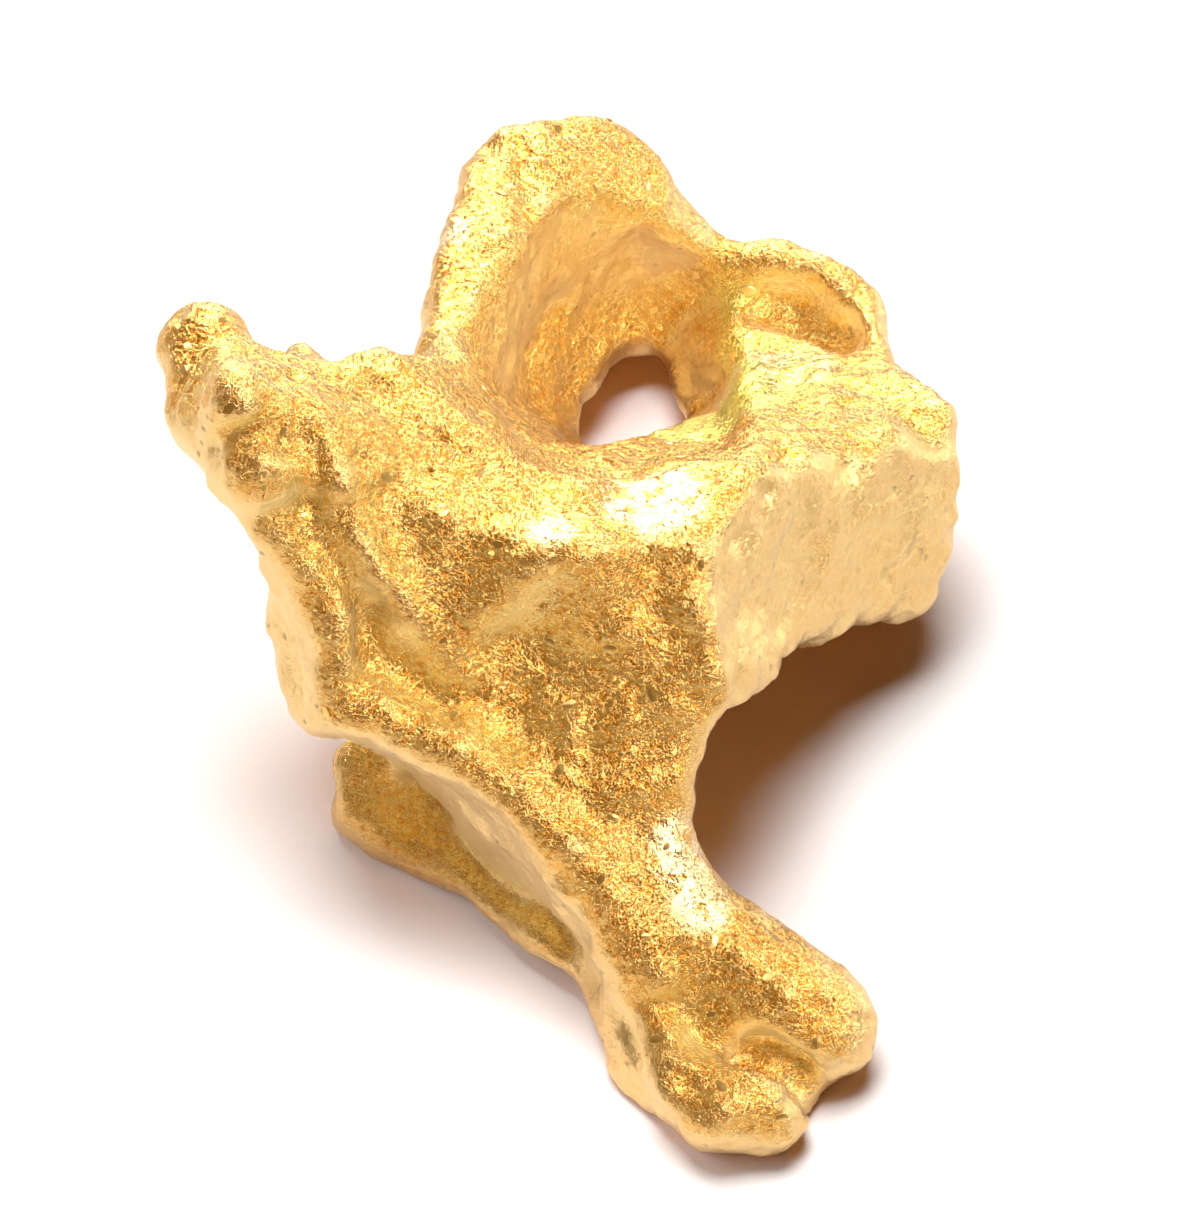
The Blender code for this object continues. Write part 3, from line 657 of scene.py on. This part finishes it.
def relief_tree(material):
    """Lumps, grains and pits along the normals; where the gold is rubbed the grains are lower and
    the lumps higher.
    """
    tree, inside, outside = new_group(
        "Skin relief",
        "GeometryNodeTree",
        [
            ("Geometry", "NodeSocketGeometry", None),
            ("Lump Size", "NodeSocketFloat", 0.0008),
            ("Lump Height", "NodeSocketFloat", 0.0001),
            ("Grain Size", "NodeSocketFloat", 0.0003),
            ("Grain Height", "NodeSocketFloat", 0.0001),
            ("Pit Size", "NodeSocketFloat", 0.001),
            ("Pit Depth", "NodeSocketFloat", 0.0001),
        ],
        [("Geometry", "NodeSocketGeometry")],
    )
    where = add_node(tree, "GeometryNodeInputPosition").outputs[0]
    named = add_node(tree, "GeometryNodeInputNamedAttribute", data_type="FLOAT")
    named.inputs["Name"].default_value = "rubbed"
    rubbed = named.outputs["Attribute"]
    size = {
        name: maths(tree, "DIVIDE", 1.0, inside.outputs[name])
        for name in ("Lump Size", "Grain Size", "Pit Size")
    }
    lumps = maths(
        tree, "SUBTRACT", noise(tree, where, size["Lump Size"], 2.0, 0.5, 0.4), 0.5
    )
    grains = maths(
        tree, "SUBTRACT", noise(tree, where, size["Grain Size"], 3.0, 0.65, 0.3), 0.5
    )
    pits = cells(tree, where, size["Pit Size"]).outputs["Distance"]
    pits = ramp(tree, pits, 0.08, 0.30, 1.0, 0.0)
    rough = maths(tree, "SUBTRACT", 1.0, maths(tree, "MULTIPLY", rubbed, 0.5))
    soft = maths(tree, "ADD", 1.0, maths(tree, "MULTIPLY", rubbed, 0.6))
    height = maths(tree, "MULTIPLY", lumps, inside.outputs["Lump Height"])
    height = maths(tree, "MULTIPLY", height, soft)
    grain = maths(tree, "MULTIPLY", grains, inside.outputs["Grain Height"])
    height = maths(tree, "ADD", height, maths(tree, "MULTIPLY", grain, rough))
    pit = maths(tree, "MULTIPLY", pits, inside.outputs["Pit Depth"])
    height = maths(tree, "SUBTRACT", height, pit)
    direction = add_node(tree, "ShaderNodeVectorMath", operation="SCALE")
    link(tree, add_node(tree, "GeometryNodeInputNormal").outputs[0], direction.inputs[0])
    link(tree, height, direction.inputs["Scale"])
    move = add_node(tree, "GeometryNodeSetPosition")
    link(tree, inside.outputs["Geometry"], move.inputs["Geometry"])
    link(tree, direction.outputs[0], move.inputs["Offset"])
    finish_tree(tree, move.outputs["Geometry"], outside, material)
    return tree


def finish_tree(tree, geometry, outside, material):
    real = add_node(tree, "GeometryNodeRealizeInstances")
    dress = add_node(tree, "GeometryNodeSetMaterial")
    dress.inputs["Material"].default_value = material
    link(tree, geometry, real.inputs[0])
    link(tree, real.outputs[0], dress.inputs["Geometry"])
    link(tree, dress.outputs[0], outside.inputs["Geometry"])


def crumb_tree(material):
    """Flat angular crumbs set into the grainy faces, turned at random."""
    tree, inside, outside = new_group(
        "Crumbs",
        "GeometryNodeTree",
        [
            ("Geometry", "NodeSocketGeometry", None),
            ("Spacing", "NodeSocketFloat", 0.0003),
            ("Smallest", "NodeSocketFloat", 0.00005),
            ("Largest", "NodeSocketFloat", 0.00013),
            ("Flatness", "NodeSocketFloat", 0.45),
            ("Seed", "NodeSocketInt", 7),
        ],
        [("Geometry", "NodeSocketGeometry")],
    )
    named = add_node(tree, "GeometryNodeInputNamedAttribute", data_type="FLOAT")
    named.inputs["Name"].default_value = "rubbed"
    grainy = add_node(tree, "FunctionNodeCompare", data_type="FLOAT", operation="LESS_THAN")
    link(tree, named.outputs["Attribute"], grainy.inputs[0])
    grainy.inputs[1].default_value = CRUMB_LIMIT
    scatter = add_node(tree, "GeometryNodeDistributePointsOnFaces", distribute_method="POISSON")
    link(tree, inside.outputs["Geometry"], scatter.inputs["Mesh"])
    link(tree, grainy.outputs[0], scatter.inputs["Selection"])
    link(tree, inside.outputs["Spacing"], scatter.inputs["Distance Min"])
    scatter.inputs["Density Max"].default_value = CRUMB_DENSITY
    link(tree, inside.outputs["Seed"], scatter.inputs["Seed"])
    crumb = add_node(tree, "GeometryNodeMeshIcoSphere")
    crumb.inputs["Radius"].default_value = 0.5
    crumb.inputs["Subdivisions"].default_value = 1
    flat = add_node(tree, "ShaderNodeCombineXYZ")
    flat.inputs[0].default_value, flat.inputs[1].default_value = CRUMB_STRETCH
    link(tree, inside.outputs["Flatness"], flat.inputs[2])
    squeeze = add_node(tree, "GeometryNodeTransform")
    link(tree, crumb.outputs["Mesh"], squeeze.inputs["Geometry"])
    link(tree, flat.outputs[0], squeeze.inputs["Scale"])
    tilt = add_node(tree, "FunctionNodeRandomValue", data_type="FLOAT_VECTOR")
    tilt.inputs["Min"].default_value = (-CRUMB_TILT, -CRUMB_TILT, -math.pi)
    tilt.inputs["Max"].default_value = (CRUMB_TILT, CRUMB_TILT, math.pi)
    link(tree, inside.outputs["Seed"], tilt.inputs["Seed"])
    turn = add_node(tree, "FunctionNodeRotateRotation", rotation_space="LOCAL")
    as_rotation = add_node(tree, "FunctionNodeEulerToRotation")
    link(tree, tilt.outputs["Value"], as_rotation.inputs[0])
    link(tree, scatter.outputs["Rotation"], turn.inputs[0])
    link(tree, as_rotation.outputs[0], turn.inputs[1])
    sizes = add_node(tree, "FunctionNodeRandomValue", data_type="FLOAT")
    link(tree, inside.outputs["Smallest"], sizes.inputs[2])
    link(tree, inside.outputs["Largest"], sizes.inputs[3])
    link(tree, inside.outputs["Seed"], sizes.inputs["Seed"])
    place = add_node(tree, "GeometryNodeInstanceOnPoints")
    link(tree, scatter.outputs["Points"], place.inputs["Points"])
    link(tree, squeeze.outputs[0], place.inputs["Instance"])
    link(tree, turn.outputs[0], place.inputs["Rotation"])
    link(tree, sizes.outputs[1], place.inputs["Scale"])
    finish_tree(tree, place.outputs[0], outside, material)
    return tree


def shaped_by(tree, mesh, values, name):
    """The mesh after a Geometry Nodes tree, as a plain mesh."""
    carrier = linked_object("carrier", mesh)
    modifier = carrier.modifiers.new("nodes", "NODES")
    modifier.node_group = tree
    set_inputs(modifier, values)
    result = plain_mesh(carrier, name)
    carrier.modifiers.clear()
    bpy.data.objects.remove(carrier)
    return result


class NUGGET_OT_skin(bpy.types.Operator):
    """Builds the nugget's skin over the solid"""

    bl_idname = "nugget.skin"
    bl_label = "Skin"

    def execute(self, context):
        settings = context.scene.nugget_skin
        fine, soft = net_from_solid(settings)
        count = len(fine.vertices)
        points = vectors(fine.vertices, "co", count)
        soft_points = vectors(soft.vertices, "co", count)
        soft_normals = vertex_normals(soft)
        points[:, 2] = np.maximum(points[:, 2], 0.0)
        fine.vertices.foreach_set("co", points.astype(np.float32).ravel())
        fine.update()
        depth = ((soft_points - points) * soft_normals).sum(axis=1) / MM
        store(fine, "hollow", soft_step(depth, HOLLOW_DEPTH))
        proud = soft_step(-depth, PROUD_HEIGHT) * PROUD_RUB
        rubbed = np.maximum(rubbed_walls(soft_points, soft_normals), proud)
        store(fine, "rubbed", rubbed)
        store(fine, "cup", cup_walls(soft_points, soft_normals))
        store(fine, "burnished", burnished_patches(soft_points))
        grain_group = fine_grain_group()
        colour_group = gold_colour_group()
        material = skin_material(settings, grain_group, colour_group)
        mesh = shaped_by(
            relief_tree(material),
            fine,
            {
                "Lump Size": settings.lump_size,
                "Lump Height": settings.lump_height,
                "Grain Size": settings.grain_size,
                "Grain Height": settings.grain_height,
                "Pit Size": settings.pit_size,
                "Pit Depth": settings.pit_depth,
            },
            "nugget_skin",
        )
        mesh.shade_smooth()
        skin = linked_object("nugget_skin", mesh)
        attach(skin, BODY)
        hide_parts(NODE)
        return {"FINISHED"}


class NUGGET_OT_crumbs(bpy.types.Operator):
    """Strews flat angular crumbs over the grainy faces"""

    bl_idname = "nugget.crumbs"
    bl_label = "Crumbs"

    def execute(self, context):
        settings = context.scene.nugget_crumbs
        skin = bpy.data.objects["nugget_skin"]
        material = crumb_material(
            settings, context.scene.nugget_skin, bpy.data.node_groups["Natural gold"]
        )
        mesh = shaped_by(
            crumb_tree(material),
            skin.data.copy(),
            {
                "Spacing": settings.spacing,
                "Smallest": settings.smallest,
                "Largest": settings.largest,
                "Flatness": settings.flatness,
                "Seed": settings.seed,
            },
            "nugget_crumbs",
        )
        crumbs = linked_object("nugget_crumbs", mesh)
        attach(crumbs, BODY)
        return {"FINISHED"}


# The stage


def floor_material(settings):
    material = bpy.data.materials.new("pale floor")
    material.use_nodes = True
    shader = material.node_tree.nodes["Principled BSDF"]
    tree = material.node_tree
    mirrored = add_node(tree, "ShaderNodeLightPath").outputs["Is Glossy Ray"]
    colour = mix_colour(tree, mirrored, settings.floor_colour[:], settings.floor_mirrored[:])
    link(tree, colour, shader.inputs["Base Color"])
    shader.inputs["Roughness"].default_value = 0.9
    shader.inputs["Specular IOR Level"].default_value = 0.1
    return material


def soft_light(name, place, width, height, power):
    light = bpy.data.lights.new(name, "AREA")
    light.shape = "RECTANGLE"
    light.size = width
    light.size_y = height
    light.energy = power
    obj = bpy.data.objects.new(name, light)
    obj.location = place
    obj.rotation_euler = (Vector(place) - AIM).to_track_quat("Z", "Y").to_euler()
    bpy.context.scene.collection.objects.link(obj)
    return obj


def room_world(settings):
    """A dark warm room in front and a pale backdrop behind, seen in the gold only."""
    world = bpy.data.worlds.new("room")
    world.use_nodes = True
    tree = world.node_tree
    background = tree.nodes["Background"]
    way = add_node(tree, "ShaderNodeTexCoord").outputs["Generated"]
    parts = add_node(tree, "ShaderNodeSeparateXYZ")
    link(tree, way, parts.inputs[0])
    behind = ramp(tree, parts.outputs[1], -0.35, 0.45)
    link(
        tree,
        mix_colour(tree, behind, settings.front[:], settings.back[:]),
        background.inputs["Color"],
    )
    background.inputs["Strength"].default_value = settings.room_strength
    bpy.context.scene.world = world
    world.cycles_visibility.diffuse = False


def set_floor(settings):
    half = settings.floor_size / 2
    corners = [(-half, -half, 0.0), (half, -half, 0.0), (half, half, 0.0), (-half, half, 0.0)]
    mesh = bpy.data.meshes.new("floor")
    mesh.from_pydata(corners, [], [(0, 1, 2, 3)])
    mesh.materials.append(floor_material(settings))
    linked_object("floor", mesh)


def set_lights(settings):
    for name, place, width, height, power, share in LAMPS:
        lamp = soft_light(name, place, width, height, getattr(settings, power) * share)
        lamp.visible_glossy = False
    for name, place, width, height, power, share in BOXES:
        box = soft_light(name, place, width, height, getattr(settings, power) * share)
        box.visible_diffuse = False


def set_camera(scene):
    data = bpy.data.cameras.new("camera")
    data.sensor_width = SENSOR
    data.lens = SENSOR * DISTANCE / (PICTURE_HEIGHT * PIXEL)
    data.clip_start = CLIP_START
    camera = bpy.data.objects.new("camera", data)
    towards = Vector((0.0, -math.cos(ELEVATION), math.sin(ELEVATION)))
    camera.location = AIM + towards * DISTANCE
    camera.rotation_euler = towards.to_track_quat("Z", "Y").to_euler()
    scene.collection.objects.link(camera)
    scene.camera = camera


class NUGGET_OT_stage(bpy.types.Operator):
    """Sets the floor, the soft light and the camera"""

    bl_idname = "nugget.stage"
    bl_label = "Stage"

    def execute(self, context):
        settings = context.scene.nugget_stage
        set_floor(settings)
        room_world(settings)
        set_lights(settings)
        context.scene.view_settings.view_transform = "Standard"
        context.scene.view_settings.exposure = settings.exposure
        set_camera(context.scene)
        return {"FINISHED"}


class NUGGET_PT_panel(bpy.types.Panel):
    """Buttons and sizes of the gold nugget"""

    bl_idname = "NUGGET_PT_panel"
    bl_label = "Gold nugget"
    bl_space_type = "VIEW_3D"
    bl_region_type = "UI"
    bl_category = "Gold nugget"

    def draw(self, context):
        scene = context.scene
        for operator, settings in (
            (NUGGET_OT_skin, scene.nugget_skin),
            (NUGGET_OT_crumbs, scene.nugget_crumbs),
            (NUGGET_OT_stage, scene.nugget_stage),
        ):
            box = self.layout.box()
            box.operator(operator.bl_idname)
            for name in settings.__annotations__:
                box.prop(settings, name)


CLASSES = (
    NuggetSkinSettings,
    NuggetCrumbSettings,
    NuggetStageSettings,
    NUGGET_OT_skin,
    NUGGET_OT_crumbs,
    NUGGET_OT_stage,
    NUGGET_PT_panel,
)
GROUPS = (
    ("nugget_skin", NuggetSkinSettings),
    ("nugget_crumbs", NuggetCrumbSettings),
    ("nugget_stage", NuggetStageSettings),
)


def register():
    for item in CLASSES:
        bpy.utils.register_class(item)
    for name, group in GROUPS:
        setattr(bpy.types.Scene, name, PointerProperty(type=group))


def unregister():
    for name, _ in GROUPS:
        delattr(bpy.types.Scene, name)
    for item in reversed(CLASSES):
        bpy.utils.unregister_class(item)


def main():
    register()
    bpy.ops.nugget.skin()
    bpy.ops.nugget.crumbs()
    bpy.ops.nugget.stage()


if __name__ == "__main__":
    main()
